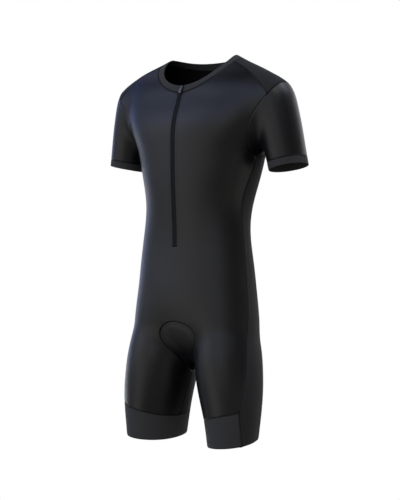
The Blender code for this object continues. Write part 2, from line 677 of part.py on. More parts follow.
def pad_grid():
    """The pad, row by row from front to back, standing proud of its edges."""
    across = np.linspace(-1, 1, 2 * PAD_END_ROWS + 1)
    turns = np.linspace(PAD_OUTLINE[0][0], PAD_INSEAM_TURN, PAD_SIDE_ROWS + 1)
    turns = np.concatenate([turns, np.linspace(PAD_INSEAM_TURN, PAD_OUTLINE[-1][0], PAD_SIDE_ROWS + 1)[1:]])
    rows = [pad_points(turn, pad_half_width(turn) * across) for turn in turns]
    front = pad_end(PAD_OUTLINE[0][0], PAD_FRONT_TURN, across)
    back = pad_end(PAD_OUTLINE[-1][0], PAD_BACK_TURN, across)
    grid = np.array([front, *rows, back])
    rows_in = np.minimum(np.arange(len(grid)), np.arange(len(grid))[::-1])
    rise = np.minimum(1, rows_in / PAD_PUFF_ROWS)[:, None, None]
    return grid + PAD_PUFF * rise * (1 - across**PAD_PUFF_POWER)[:, None] * normals_at(grid)


def neckband_rows():
    """From the neck seam up to the open edge, on the left."""
    halfway = {key: (NECK_SEAM[key] + NECK_EDGE[key]) / 2 for key in NECK_SEAM}
    return np.array([neck_row(NECK_SEAM), neck_row(halfway), neck_row(NECK_EDGE)])


def zip_tape(front, neckband):
    """The strip that fills the zip opening, from its lower end up to the top of the neckband."""
    low = LEG_ROWS + PAD_SIDE_ROWS + PAD_END_ROWS + BELLY_ROWS
    edge = np.concatenate([front[low + 1 : low + RIB_ROWS + CHEST_ROWS + 2, 0], neckband[1:, 0]])
    middle = cast(edge * (0, 0, 1), (0, -1, 0))
    middle[0] = front[low, 0]
    return np.stack([mirrored(edge), middle, edge], axis=1)


# ---------------------------------------------------------------- zip slider and pull
def arc(middle, radius, first, last, count):
    angles = np.radians(np.linspace(first, last, count))
    return [(middle[0] + radius * math.cos(a), middle[1] + radius * math.sin(a)) for a in angles]


def slab(name, loops, low, high, frame):
    """A flat slab between two heights, outlined by its first loop and pierced by the others."""
    bm = bmesh.new()
    for loop in loops:
        corners = [bm.verts.new((*point, low)) for point in loop]
        for start, end in zip(corners, corners[1:] + corners[:1]):
            bm.edges.new((start, end))
    bmesh.ops.triangle_fill(bm, use_beauty=True, edges=bm.edges[:])
    grown = bmesh.ops.extrude_face_region(bm, geom=bm.faces[:])["geom"]
    bmesh.ops.translate(bm, vec=(0, 0, high - low), verts=[v for v in grown if isinstance(v, bmesh.types.BMVert)])
    bmesh.ops.transform(bm, matrix=frame, verts=bm.verts)
    bmesh.ops.recalc_face_normals(bm, faces=bm.faces[:])
    mesh = bpy.data.meshes.new(name)
    bm.to_mesh(mesh)
    bm.free()
    return mesh


def join_with(target, mesh):
    """Adds a hidden solid to a piece with a union."""
    other = bpy.data.objects.new(mesh.name, mesh)
    other.hide_render = True
    bpy.context.scene.collection.objects.link(other)
    union = target.modifiers.new("union", "BOOLEAN")
    union.operation, union.solver, union.object = "UNION", "EXACT", other


def slider_frame(tape):
    """Where the slider stands: its own across, up and out directions, on the tape near the top."""
    top, low = tape[-1][1], tape[-3][1]
    up = (top - low) / np.linalg.norm(top - low)
    out = np.cross((1, 0, 0), up)
    frame = np.eye(4)
    frame[:3, 0], frame[:3, 1], frame[:3, 2], frame[:3, 3] = (1, 0, 0), up, out, top - SLIDER_DOWN * up
    return Matrix(frame.tolist())


def zip_slider(frame):
    """The slider's body, and the bridge that holds the pull tab."""
    tall, wide, widest = SLIDER["half_height"], SLIDER["half_width"], SLIDER["widest"]
    top, bottom = SLIDER["top"], SLIDER["bottom"]
    body = [(-bottom, -tall), (bottom, -tall), (wide, widest), (top, tall), (-top, tall), (-wide, widest)]
    slider = place("zip_slider", slab("zip_slider", [body], SLIDER_LOW, SLIDER_HIGH, frame), "zip_metal")

    up, down, out, wall = (BRIDGE[key] for key in ("up", "down", "out", "wall"))
    root, floor = (SLIDER_LOW + SLIDER_HIGH) / 2, SLIDER_HIGH - BRIDGE["sunk"]
    rim = [(down, root), (up, root), (up, out - wall), (up - wall, out), (down + wall, out), (down, out - wall)]
    window = [(down + wall, floor), (up - wall, floor), (up - wall, out - wall), (down + wall, out - wall)]
    sideways = frame @ Matrix(((0, 0, 1, 0), (1, 0, 0, 0), (0, 1, 0, 0), (0, 0, 0, 1)))
    join_with(slider, slab("bridge", [rim, window], -BRIDGE["half_width"], BRIDGE["half_width"], sideways))


def zip_pull(frame):
    """The pull tab: a pierced plate whose bar runs through the bridge."""
    at_pivot = frame @ Matrix.Translation((0, PIVOT_UP, PIVOT_OUT))
    half, neck, thin = TAB["half_width"], TAB["neck"], TAB["thickness"] / 2
    above, below = TAB_EYE["end"] + TAB["taper"], TAB_EYE["end"] - TAB["taper"]
    plate = [(neck, thin), (-neck, thin), (-neck, above), (-half, below)]
    plate += arc((0, half - TAB["length"]), half, 180, 360, 13) + [(half, below), (neck, above)]
    eye = TAB_EYE["half_width"]
    slot = [(eye, -BAR_RADIUS), (eye, TAB_EYE["end"]), (-eye, TAB_EYE["end"]), (-eye, -BAR_RADIUS)]
    hole = arc((0, TAB_HOLE["along"]), TAB_HOLE["radius"], 0, 337.5, 16)
    place("zip_pull", slab("zip_pull", [plate, slot, hole], -thin, thin, at_pivot), "zip_metal")


# ---------------------------------------------------------------- build
def main():
    for old in list(bpy.data.objects):
        bpy.data.objects.remove(old)
    front, back = panel_half("front"), panel_half("back")
    both_halves("front_panel", front, BODY_CLOTH, "gloss_cloth")
    both_halves("back_panel", back, BODY_CLOTH, "gloss_cloth")
    both_sides("side", side_panel(front, back), BODY_CLOTH, "matt_cloth")
    both_sides("yoke", yoke(front, back), BODY_CLOTH, "matt_cloth")
    both_sides("leg_band", leg_band(), BAND_CLOTH, "matt_cloth")
    sleeve, cuff = sleeve_and_cuff()
    both_sides("sleeve", sleeve, BODY_CLOTH, "gloss_cloth", closed=True)
    both_sides("cuff", cuff, BAND_CLOTH, "matt_cloth", closed=True)
    neckband = neckband_rows()
    both_halves("neckband", neckband, BAND_CLOTH, "matt_cloth")
    cloth("seat_pad", [pad_grid()], PAD_CLOTH, "gloss_cloth", trim=PAD_TRIM)
    tape = zip_tape(front, neckband)
    cloth("zip_tape", [tape], BODY_CLOTH, "zip_tape")
    zip_slider(slider_frame(tape))
    zip_pull(slider_frame(tape))


main()
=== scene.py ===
"""Looks of the short-sleeved triathlon suit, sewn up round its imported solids.

Metres, +Z up, the front faces -Y and the wearer's left is +X. Each cloth piece is the outer skin of its own solid,
smoothed, rolled in along its seams and given a thin wall; stitches, zip coils and hardware are laid on top.
"""

import math
from collections import namedtuple

import bmesh
import bpy
from mathutils import Matrix, Vector
from mathutils.bvhtree import BVHTree
from mathutils.kdtree import KDTree


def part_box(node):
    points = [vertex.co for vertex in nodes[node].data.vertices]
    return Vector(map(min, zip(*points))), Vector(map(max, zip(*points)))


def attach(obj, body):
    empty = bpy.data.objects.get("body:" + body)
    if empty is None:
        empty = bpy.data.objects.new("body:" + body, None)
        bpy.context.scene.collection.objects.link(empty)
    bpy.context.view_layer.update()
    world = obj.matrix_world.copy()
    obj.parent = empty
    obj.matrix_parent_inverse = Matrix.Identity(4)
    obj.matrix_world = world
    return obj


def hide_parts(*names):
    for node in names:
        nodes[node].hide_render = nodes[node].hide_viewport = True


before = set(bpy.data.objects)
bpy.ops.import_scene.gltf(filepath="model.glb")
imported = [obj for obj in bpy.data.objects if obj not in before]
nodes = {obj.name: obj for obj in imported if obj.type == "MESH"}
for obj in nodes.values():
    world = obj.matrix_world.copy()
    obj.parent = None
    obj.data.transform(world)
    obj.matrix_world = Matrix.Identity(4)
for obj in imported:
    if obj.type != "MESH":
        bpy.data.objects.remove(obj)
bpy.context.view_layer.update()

# ---------------------------------------------------------------- sizes
CLOTH_WALL, BAND_WALL, TAPE_WALL = 0.0013, 0.0017, 0.0010
UP, ACROSS = (0, 0, 1), (1, 0, 0)
LEFT_ARM, ARM_WAY = (0.200, 0.012, -0.108), (0.19, 0.05, -0.98)  # a point in the sleeve, and the way down it
SUIT_MIDDLE = Vector((0, 0, -0.45))  # the side panels and yokes turn their outer faces away from this
BEHIND_ZIP = Vector((0, 0.4, -0.25))  # and the zip tape turns its own away from this
WELD = 0.00001

# the skin of a solid
SKIN_EDGE = math.radians(70)  # a skin ends where its faces turn by more than this
CORNER = math.radians(50)  # an edge that turns by more than this keeps its corner
GRID_PULLS = (1.0, 1.3, 1.6, 2.0)  # how strongly joined triangles prefer an even grid: the best one is kept
FOLD, EASE_STEPS, EASE = math.radians(40), 6, 0.3  # a sharper fold is eased by this share at each step

# the edges of the cloth
EDGE_RINGS = (0.0004, 0.0009, 0.0015, 0.0024)  # how far in the narrow rings of the large pieces lie
RINGS_MOST = 0.8  # the most of a face's width that they take
FINE_SMOOTHING = 3  # a piece smoothed this often needs no rings
ROLL_WIDTH = 0.0024  # how far in from its edge the cloth rolls
SEAM_REACH = 0.0040  # an edge nearer than this to another piece is sewn to it
# how far in from an edge the painted shade along seams and hems reaches
PAINTED_SHADE_WIDTH = 0.0022
Edge = namedtuple("Edge", "roll lap dark")
EDGES = {
    # what the edge meets: how deep it rolls, how far it laps under, how dark the painted shade along it is
    "seam": Edge(0.0010, 0.0009, 0.8),
    "zip": Edge(0.0004, 0.0005, 0.6),
    "hem": Edge(0.0005, 0.0000, 0.3),
}

# stitches
STITCH_PITCH, STITCH_LENGTH, THREAD_RADIUS, THREAD_PROUD = 0.0032, 0.0026, 0.00022, 0.00011
STITCH_IN = {"seam": 0.0024, "zip": 0.0050, "hem": 0.0140}  # from the edge to its row of stitches
STITCH_CLEAR = 0.8  # no stitch comes nearer to another edge than this share of that

# the pad's face
PAD_CHANNEL_IN, PAD_CHANNEL_HALF, PAD_CHANNEL_DEEP = 0.0070, 0.0018, 0.0004
PAD_SWELL, PAD_SWELL_WIDTH = 0.0010, 0.0120

# the zip
TAPE_SUNK, TAPE_LAP = 0.0009, 0.0016
ZIP_END = 0.0025  # the tape narrows over this height at its lower end
COIL_PITCH, COIL_OUT, COIL_RADIUS, COIL_LENGTH = 0.0015, 0.0012, 0.00042, 0.0020
COIL_END = 0.0020  # from the ends of the tape to the coils
METAL_FLAT = math.radians(1)  # faces that turn by less than this become one
METAL_ROUNDING = 0.00025


# ---------------------------------------------------------------- shader maths
class Value:
    """A number or colour that varies from place to place. Arithmetic on it adds Math nodes."""

    def __init__(self, graph, socket):
        self.graph, self.socket = graph, socket

    def _math(self, operation, first, *others):
        return self.graph.node("ShaderNodeMath", {"operation": operation}, [first, *others])

    def __add__(self, other):
        return self._math("ADD", self, other)

    def __sub__(self, other):
        return self._math("SUBTRACT", self, other)

    def __rsub__(self, other):
        return self._math("SUBTRACT", other, self)

    def __mul__(self, other):
        return self._math("MULTIPLY", self, other)

    __radd__, __rmul__ = __add__, __mul__

    def between(self, low, high):
        """Turns 0 to 1 into low to high."""
        return self * (high - low) + low

    def wave(self):
        """A smooth wave from 0 to 1 that repeats whenever the number grows by 1."""
        return self._math("SINE", self * math.tau) * 0.5 + 0.5

    def zigzag(self):
        """0 to 1 and back to 0 whenever the number grows by 1."""
        return self._math("PINGPONG", self, 0.5) * 2


class Graph:
    """A node tree that is built up a node at a time."""

    def __init__(self, tree):
        self.tree = tree

    def plug(self, socket, value):
        if isinstance(value, Value):
            self.tree.links.new(value.socket, socket)
        elif socket.type == "RGBA":
            socket.default_value = (*value, 1.0)
        else:
            socket.default_value = value

    def node(self, kind, settings=None, sockets=(), output=0):
        """Adds a node of this kind: its settings first, then its sockets by place or by name."""
        made = self.tree.nodes.new(kind)
        for name, value in (settings or {}).items():
            setattr(made, name, value)
        pairs = sockets.items() if isinstance(sockets, dict) else enumerate(sockets)
        for key, value in pairs:
            self.plug(made.inputs[key], value)
        return Value(self, made.outputs[output])


class Paint(Graph):
    """A material and its nodes."""

    MIX_SHARE, MIX_FIRST, MIX_SECOND, MIX_COLOUR = 0, 6, 7, 2  # the Mix node's sockets for colours

    def __init__(self, name, finish=None):
        self.material = bpy.data.materials.new(name)
        self.material.use_nodes = True
        super().__init__(self.material.node_tree)
        self.shader = self.tree.nodes["Principled BSDF"]
        for socket, value in (finish or {}).items():
            self.set(socket, value)

    def set(self, socket, value):
        self.plug(self.shader.inputs[socket], value)

    def cloth_place(self):
        """A place on the cloth's own map, and its metres across and along."""
        place = self.node("ShaderNodeUVMap", {"uv_map": "cloth"})
        across = self.node("ShaderNodeSeparateXYZ", sockets=[place])
        return place, across, Value(self, across.socket.node.outputs["Y"])

    def solid_place(self):
        """A place in the piece's own metres."""
        return self.node("ShaderNodeTexCoord", output="Object")

    def mix(self, share, first, second):
        """A colour between two."""
        sockets = {self.MIX_SHARE: share, self.MIX_FIRST: first, self.MIX_SECOND: second}
        return self.node("ShaderNodeMix", {"data_type": "RGBA"}, sockets, self.MIX_COLOUR)

    def noise(self, place, scale, detail=2.0):
        return self.node("ShaderNodeTexNoise", sockets={"Vector": place, "Scale": scale, "Detail": detail})

    def bump(self, pattern, height):
        """Raises the surface by the pattern times the height."""
        self.set("Normal", self.node("ShaderNodeBump", sockets={"Distance": height, "Height": pattern}))


def painted_seam_shade(paint):
    """Painted shade along the seams and hems: 1 away from them, falling towards 0 in them."""
    return paint.node("ShaderNodeAttribute", {"attribute_name": "painted_shade_factor"}, output="Fac")


def knit_loops(across, along, pitch):
    """Height of a fine knit: upright columns of small slanted loops."""
    loop_height = pitch * 0.8
    columns, rows = across * (1 / pitch), along * (1 / loop_height)
    return (rows + columns.zigzag() * 0.5).wave() * (columns * 2).wave()


def gloss_knit():
    """Shiny black stretch knit with a cold sheen."""
    paint = Paint("gloss_knit", {"Sheen Weight": 0.08, "Sheen Roughness": 0.35,
                                 "Sheen Tint": (0.45, 0.52, 0.75), "Specular IOR Level": 0.62})
    place, across, along = paint.cloth_place()
    loops = knit_loops(across, along, pitch=0.0009)
    patches = paint.noise(place, scale=14.0)
    # painted shade: the base colour darkens along the seams and hems
    shade = painted_seam_shade(paint) * loops.between(0.80, 1.05)
    paint.set("Base Color", paint.mix(shade, (0.0008, 0.0008, 0.0010), (0.0045, 0.0048, 0.0060)))
    paint.set("Roughness", patches.between(0.29, 0.35) + (1 - loops) * 0.05)
    paint.bump(loops, height=0.00003)
    return paint.material


def matt_knit(name, colour, dot_pitch):
    """Dull black knit with a dotted face."""
    paint = Paint(name, {"Sheen Weight": 0.10, "Sheen Roughness": 0.5, "Specular IOR Level": 0.15})
    place, across, along = paint.cloth_place()
    dots = (across * (1 / dot_pitch)).wave() * (along * (1 / dot_pitch)).wave()
    face = knit_loops(across, along, pitch=0.0011) * 0.4 + dots * 0.6
    # painted shade: the base colour darkens along the seams and hems
    shade = painted_seam_shade(paint) * face.between(0.75, 1.10)
    paint.set("Base Color", paint.mix(shade, (0.0030, 0.0030, 0.0030), colour))
    paint.set("Roughness", paint.noise(place, scale=20.0).between(0.66, 0.78))
    paint.bump(face, height=0.00008)
    return paint.material


def lining_knit():
    """The dull inside of the cloth."""
    paint = Paint("lining_knit")
    place, across, along = paint.cloth_place()
    loops = knit_loops(across, along, pitch=0.0012)
    paint.set("Base Color", paint.mix(loops, (0.0020, 0.0020, 0.0022), (0.0050, 0.0050, 0.0055)))
    paint.set("Roughness", paint.noise(place, scale=30.0).between(0.80, 0.90))
    paint.bump(loops, height=0.00006)
    return paint.material


def woven_tape():
    """Closely woven zip tape, ribbed across."""
    paint = Paint("woven_tape", {"Specular IOR Level": 0.22})
    _, across, along = paint.cloth_place()
    rib_pitch, warp_pitch = 0.0006, 0.0005
    ribs = (along * (1 / rib_pitch)).wave() * 0.6 + (across * (1 / warp_pitch)).wave() * 0.4
    paint.set("Base Color", paint.mix(ribs, (0.0040, 0.0042, 0.0052), (0.0090, 0.0094, 0.0120)))
    paint.set("Roughness", ribs.between(0.50, 0.62))
    paint.bump(ribs, height=0.00006)
    return paint.material


def coil_plastic():
    """Moulded nylon of the zip's coils."""
    paint = Paint("coil_plastic")
    grain = paint.noise(paint.solid_place(), scale=900.0)
    paint.set("Base Color", paint.mix(grain, (0.006, 0.006, 0.008), (0.012, 0.012, 0.015)))
    paint.set("Roughness", grain.between(0.34, 0.46))
    return paint.material


def sewing_thread():
    """Twisted polyester thread."""
    paint = Paint("sewing_thread")
    grain = paint.noise(paint.solid_place(), scale=2500.0)
    paint.set("Base Color", paint.mix(grain, (0.010, 0.010, 0.011), (0.026, 0.026, 0.028)))
    paint.set("Roughness", grain.between(0.45, 0.60))
    return paint.material


def tumbled_metal():
    """Slightly dulled cast zip metal."""
    paint = Paint("tumbled_metal", {"Metallic": 1.0})
    place = paint.solid_place()
    grain, wear = paint.noise(place, scale=1600.0, detail=4.0), paint.noise(place, scale=350.0)
    paint.set("Base Color", paint.mix(wear, (0.14, 0.14, 0.15), (0.27, 0.27, 0.27)))
    paint.set("Roughness", grain.between(0.30, 0.46))
    paint.bump(grain, height=0.00002)
    return paint.material


MATERIALS = {
    "gloss": gloss_knit(),
    "matt": matt_knit("matt_knit", (0.0390, 0.0390, 0.0395), dot_pitch=0.0024),
    "band": matt_knit("band_knit", (0.0740, 0.0740, 0.0750), dot_pitch=0.0016),
    "lining": lining_knit(),
    "tape": woven_tape(),
    "coil": coil_plastic(),
    "thread": sewing_thread(),
    "metal": tumbled_metal(),
}


# ---------------------------------------------------------------- small helpers
def clamped(share):
    return max(0.0, min(1.0, share))


def mean(points):
    points = list(points)
    return sum(points, Vector()) / len(points)


def finder_of(points):
    """Finds the nearest of these points."""
    points = list(points)
    finder = KDTree(len(points))
    for i, point in enumerate(points):
        finder.insert(point, i)
    finder.balance()
    return finder


def placed(name, data):
    """A new object in the scene."""
    made = bpy.data.objects.new(name, data)
    bpy.context.scene.collection.objects.link(made)
    return made


def mesh_of(bm, name):
    """Turns a bmesh into a mesh, and frees it."""
    mesh = bpy.data.meshes.new(name)
    bm.to_mesh(mesh)
    bm.free()
    return mesh


def shaded_piece(bm, name, materials):
    """A shaded object of a bmesh."""
    mesh = mesh_of(bm, name)
    for material in materials:
        mesh.materials.append(MATERIALS[material])
    mesh.shade_smooth()
    return placed(name, mesh)


def packed_copy(node):
    """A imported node's mesh as a bmesh of its own, with its corners merged."""
    bm = bmesh.new()
    bm.from_mesh(nodes[node].data)
    bmesh.ops.remove_doubles(bm, verts=bm.verts, dist=WELD)
    return bm


# ---------------------------------------------------------------- skins
def smooth_patches(bm):
    """Groups of faces that run into each other without a sharp edge."""
    left, patches = set(bm.faces), []
    while left:
        patch, waiting = set(), [left.pop()]
        while waiting:
            face = waiting.pop()
            patch.add(face)
            for edge in face.edges:
                if len(edge.link_faces) == 2 and edge.calc_face_angle(math.pi) < SKIN_EDGE:
                    found = left.intersection(edge.link_faces)
                    left -= found
                    waiting.extend(found)
        patches.append(patch)
    return patches


def joined(bm, pull):
    """A copy with its pairs of triangles joined into quads."""
    made = bm.copy()
    bmesh.ops.join_triangles(made, faces=made.faces[:], angle_face_threshold=math.pi,
                             angle_shape_threshold=math.pi, topology_influence=pull)
    return made


def ease_folds(bm):
    """Relaxes the skin round its sharp folds, and leaves its edges where they are."""
    for _ in range(EASE_STEPS):
        sharp = {vert for edge in bm.edges if not edge.is_boundary and edge.calc_face_angle() > FOLD
                 for vert in edge.verts}
        near = sharp | {edge.other_vert(vert) for vert in sharp for edge in vert.link_edges}
        moves = [(vert, mean(edge.other_vert(vert).co for edge in vert.link_edges))
                 for vert in near if not vert.is_boundary]
        for vert, target in moves:
            vert.co = vert.co.lerp(target, EASE)
        bm.normal_update()


def outer_skin(node, inside=None):
    """The outer face of a cloth node, as quads, with its corners marked to stay sharp."""
    bm = packed_copy(node)
    middle = mean(vert.co for vert in bm.verts) if inside is None else inside

    def facing_out(patch):
        return sum(face.calc_area() * face.normal.dot(face.calc_center_median() - middle) for face in patch)

    skin = max(smooth_patches(bm), key=facing_out)
    bmesh.ops.delete(bm, geom=[face for face in bm.faces if face not in skin], context="FACES")
    tries = [joined(bm, pull) for pull in GRID_PULLS]
    bm = min(tries, key=lambda tried: sum(len(face.verts) == 3 for face in tried.faces))
    if "panel" in node:
        ease_folds(bm)
    crease = bm.verts.layers.float.new("crease_vert")
    for vert in bm.verts:
        ends = [edge.other_vert(vert).co - vert.co for edge in vert.link_edges if edge.is_boundary]
        if len(ends) == 2 and ends[0].angle(-ends[1]) > CORNER:
            vert[crease] = 1.0
    return bm


def smoothed(bm, name, levels):
    """The skin after subdivision."""
    holder = placed(name, mesh_of(bm, name))
    subdivision = holder.modifiers.new("smooth", "SUBSURF")
    subdivision.levels = subdivision.render_levels = levels
    subdivision.boundary_smooth = "ALL"
    fine = bmesh.new()
    fine.from_object(holder, bpy.context.evaluated_depsgraph_get())
    bpy.data.objects.remove(holder)
    fine.normal_update()
    return fine


# ---------------------------------------------------------------- edges
def tree_of(node):
    bm = packed_copy(node)
    tree = BVHTree.FromBMesh(bm)
    bm.free()
    return tree


NEIGHBOURS = {node: tree_of(node) for node in nodes if node not in ("zip_slider", "zip_pull")}


def edge_kind(point, own):
    """What lies against this point of a piece's edge: another cloth (seam), the zip, or nothing (hem)."""
    near = [node for node, tree in NEIGHBOURS.items()
            if node != own and tree.find_nearest(point, SEAM_REACH)[0]]
    if not near:
        return "hem"
    return "zip" if near == ["zip_tape"] else "seam"


def cut_near_edge(edge):
    """Cuts an edge that runs inwards from the border. Returns its new points, the outermost first."""
    start = next(vert for vert in edge.verts if vert.is_boundary)
    length = edge.calc_length()
    reach = min(1.0, RINGS_MOST * length / EDGE_RINGS[-1])
    points = []
    for distance in reversed(EDGE_RINGS):
        _, point = bmesh.utils.edge_split(edge, start, distance * reach / length)
        length = distance * reach
        edge = next(piece for piece in point.link_edges if start in piece.verts)
        points.insert(0, point)
    return points


def add_edge_rings(bm):
    """Cuts narrow rings into the faces along every edge, for the roll to bend."""
    inward = [edge for edge in bm.edges if sum(vert.is_boundary for vert in edge.verts) == 1]
    places = {edge: place for place, edge in enumerate(inward)}
    sides = [[places[edge] for edge in face.edges if edge in places] for face in bm.faces]
    cuts = [cut_near_edge(edge) for edge in inward]
    for first, second in (pair for pair in sides if len(pair) == 2):
        for a, b in zip(cuts[first], cuts[second]):
            face = next(face for face in a.link_faces if b in face.verts)
            bmesh.utils.face_split(face, a, b)
    bm.normal_update()


def beside_edge(point, edge):
    """How far a point is from an edge."""
    a, b = (vert.co for vert in edge.verts)
    share = (point - a).dot(b - a) / max((b - a).length_squared, 1e-12)
    return (point - a.lerp(b, clamped(share))).length


def way_in(vert):
    """The way from a border vertex into its cloth, along the surface."""
    inward = mean(face.calc_center_median() for face in vert.link_faces) - vert.co
    return (inward - vert.normal * inward.dot(vert.normal)).normalized()


def shape_edges(bm, name, relief=None):
    """Rolls the edges in, laps them at seams, and keeps how much painted shade darkens each place near an edge."""
    painted_shade_layer = bm.verts.layers.float.new("painted_shade_factor")
    border = [vert for vert in bm.verts if vert.is_boundary]
    edges = [EDGES[edge_kind(vert.co, name)] for vert in border]
    finder = finder_of(vert.co for vert in border)
    moves = []
    for vert in bm.verts:
        _, nearest, _ = finder.find(vert.co)
        distance = min(beside_edge(vert.co, edge) for edge in border[nearest].link_edges if edge.is_boundary)
        share = max(0.0, 1 - distance / ROLL_WIDTH)
        move = -vert.normal * edges[nearest].roll * share * share
        if relief:
            move += vert.normal * relief(distance)
        if vert.is_boundary:
            move -= way_in(vert) * edges[nearest].lap
        # painted shade: darkest right at the edge, fading out a little way in
        vert[painted_shade_layer] = 1 - edges[nearest].dark * max(0.0, 1 - distance / PAINTED_SHADE_WIDTH)
        moves.append(move)
    for vert, move in zip(bm.verts, moves):
        vert.co += move
    bm.normal_update()


def edge_loops(bm):
    """The piece's edges as closed loops of vertices, each ending where it starts."""
    left, loops = dict.fromkeys(edge for edge in bm.edges if edge.is_boundary), []
    while left:
        edge = next(iter(left))
        loop = [edge.verts[0]]
        while edge:
            del left[edge]
            loop.append(edge.other_vert(loop[-1]))
            edge = next((onward for onward in loop[-1].link_edges if onward in left), None)
        loops.append(loop)
    return loops


# ---------------------------------------------------------------- cloth
def map_cloth(bm, middle, axis, radius):
    """Lays the cloth's own map in metres: round an axis, and along it."""
    axis, middle = Vector(axis).normalized(), Vector(middle)
    across = (Vector((0, 1, 0)) - axis * axis.y).normalized()
    aside = axis.cross(across)
    uv = bm.loops.layers.uv.new("cloth")

    def turn(point):
        return math.atan2((point - middle).dot(aside), (point - middle).dot(across))

    for face in bm.faces:
        centre = turn(face.calc_center_median())
        for loop in face.loops:
            angle = turn(loop.vert.co)
            angle += math.tau * round((centre - angle) / math.tau)
            loop[uv].uv = (angle * radius, (loop.vert.co - middle).dot(axis))


def give_wall(piece, thickness):
    """A wall inwards from the outer face. Its inside takes the second material."""
    wall = piece.modifiers.new("wall", "SOLIDIFY")
    wall.thickness, wall.offset = thickness, -1.0
    wall.use_even_offset = False
    wall.material_offset = 1


def pad_relief(distance):
    """The pad's face: a quilted channel inside its edge, and a soft swell within that."""
    channel = max(0.0, 1 - abs(distance - PAD_CHANNEL_IN) / PAD_CHANNEL_HALF)
    swell = clamped((distance - PAD_CHANNEL_IN) / PAD_SWELL_WIDTH)
    return PAD_SWELL * swell * (2 - swell) - PAD_CHANNEL_DEEP * channel * channel * (3 - 2 * channel)


# smoothing is how often the skin is divided; middle, axis and radius are what its map is laid round;
# flat is the cut's width and length. Left and right are made alike, and the left one's map is given.
Cloth = namedtuple("Cloth", "material slot wall smoothing middle axis radius flat area")
CLOTH = {
    "front_panel": Cloth("gloss", "gloss_cloth", CLOTH_WALL, 2, (0, 0, 0), UP, 0.130, (0.46, 0.78), 0.24),
    "back_panel": Cloth("gloss", "gloss_cloth", CLOTH_WALL, 2, (0, 0, 0), UP, 0.130, (0.46, 0.80), 0.22),
    "side": Cloth("matt", "matt_cloth", CLOTH_WALL, 2, (0.06, 0, 0), UP, 0.090, (0.14, 0.62), 0.048),
    "yoke": Cloth("matt", "matt_cloth", CLOTH_WALL, 3, (0.12, 0, -0.12), ACROSS, 0.090, (0.09, 0.13), 0.0098),
    "sleeve": Cloth("gloss", "gloss_cloth", CLOTH_WALL, 2, LEFT_ARM, ARM_WAY, 0.0472, (0.30, 0.17), 0.036),
    "cuff": Cloth("band", "matt_cloth", BAND_WALL, 4, LEFT_ARM, ARM_WAY, 0.0455, (0.28, 0.021), None),
    "leg_band": Cloth("band", "matt_cloth", BAND_WALL, 3, (0.105, -0.02, 0), UP, 0.065, (0.36, 0.07), 0.021),
    "neckband": Cloth("band", "matt_cloth", BAND_WALL, 4, (0, 0.01, 0), UP, 0.090, (0.53, 0.03), 0.0115),
    "seat_pad": Cloth("gloss", "gloss_cloth", BAND_WALL, 4, (0, -0.02, -0.61), ACROSS, 0.090, (0.11, 0.27), 0.022),
}


def cloth_piece(node):
    """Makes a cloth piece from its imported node's skin. Returns the lines of its stitches."""
    cloth = CLOTH[node.removesuffix("_left").removesuffix("_right")]
    middle, axis = Vector(cloth.middle), Vector(cloth.axis)
    if node.endswith("_right"):
        middle.x *= -1
        if cloth.axis != ACROSS:
            axis.x *= -1
    inside = SUIT_MIDDLE if node.startswith(("side", "yoke")) else None
    bm = smoothed(outer_skin(node, inside), node, cloth.smoothing)
    if cloth.smoothing < FINE_SMOOTHING:
        add_edge_rings(bm)
    shape_edges(bm, node, pad_relief if node == "seat_pad" else None)
    stitches = stitch_lines(bm, node)
    map_cloth(bm, middle, axis, cloth.radius)
    folded = cloth.wall == BAND_WALL  # its own cloth shows inside too
    piece = shaded_piece(bm, node + "_cloth", [cloth.material, cloth.material if folded else "lining"])
    give_wall(piece, cloth.wall)
    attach(piece, "suit")
    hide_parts(node)
    return stitches


# ---------------------------------------------------------------- stitches
def stitch_lines(bm, node):
    """Lines of (point, normal, clear of the other edges) a little inside the piece's edges.

    At each vertex the line's way is taken from an earlier one to the next.
    """
    tree = BVHTree.FromBMesh(bm)
    border = finder_of(vert.co for vert in bm.verts if vert.is_boundary)
    lines = []
    for loop in edge_loops(bm):
        line = []
        for before, vert, after in zip(loop[-2:] + loop[:-2], loop, loop[1:] + loop[1:2]):
            inward = vert.normal.cross(after.co - before.co).normalized()
            if inward.dot(vert.link_faces[0].calc_center_median() - vert.co) < 0:
                inward.negate()
            way = STITCH_IN[edge_kind(vert.co, node)]
            point, normal, _, _ = tree.find_nearest(vert.co + inward * way)
            line.append((point, normal, border.find(point)[2] > STITCH_CLEAR * way))
        lines.append(line)
    return lines


def bead(length, radius, sides):
    """A small rounded rod along X."""
    bm = bmesh.new()
    bmesh.ops.create_uvsphere(bm, u_segments=sides, v_segments=4, radius=radius,
                              matrix=Matrix.Rotation(math.pi / 2, 4, "Y"))
    bmesh.ops.scale(bm, vec=(length / (2 * radius), 1, 1), verts=bm.verts)
    return mesh_of(bm, "bead")


def lay(bm, shape, at, along, out):
    """Adds a copy of a small shape: X along, Z out."""
    along = along.normalized()
    side = out.cross(along).normalized()
    out = along.cross(side)
    copy = shape.copy()
    copy.transform(Matrix.Translation(at) @ Matrix((along, side, out)).transposed().to_4x4())
    bm.from_mesh(copy)
    bpy.data.meshes.remove(copy)


def stitch_row(bm, shape, line):
    """Stitches at even steps along a line."""
    travelled, next_at = 0.0, STITCH_PITCH / 2
    for (a, normal_a, clear_a), (b, normal_b, clear_b) in zip(line, line[1:]):
        step = (b - a).length
        while next_at <= travelled + step:
            share = (next_at - travelled) / max(step, 1e-9)
            if clear_a and clear_b:
                normal = normal_a.lerp(normal_b, share).normalized()
                lay(bm, shape, a.lerp(b, share) + normal * THREAD_PROUD, b - a, normal)
            next_at += STITCH_PITCH
        travelled += step


def sew(stitches):
    """All the stitch rows, one mesh of thread for each cloth piece."""
    shape = bead(STITCH_LENGTH, THREAD_RADIUS, sides=5)
    for node, lines in stitches.items():
        bm = bmesh.new()
        for line in lines:
            stitch_row(bm, shape, line)
        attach(shaded_piece(bm, node + "_stitches", ["thread"]), "suit")
    bpy.data.meshes.remove(shape)


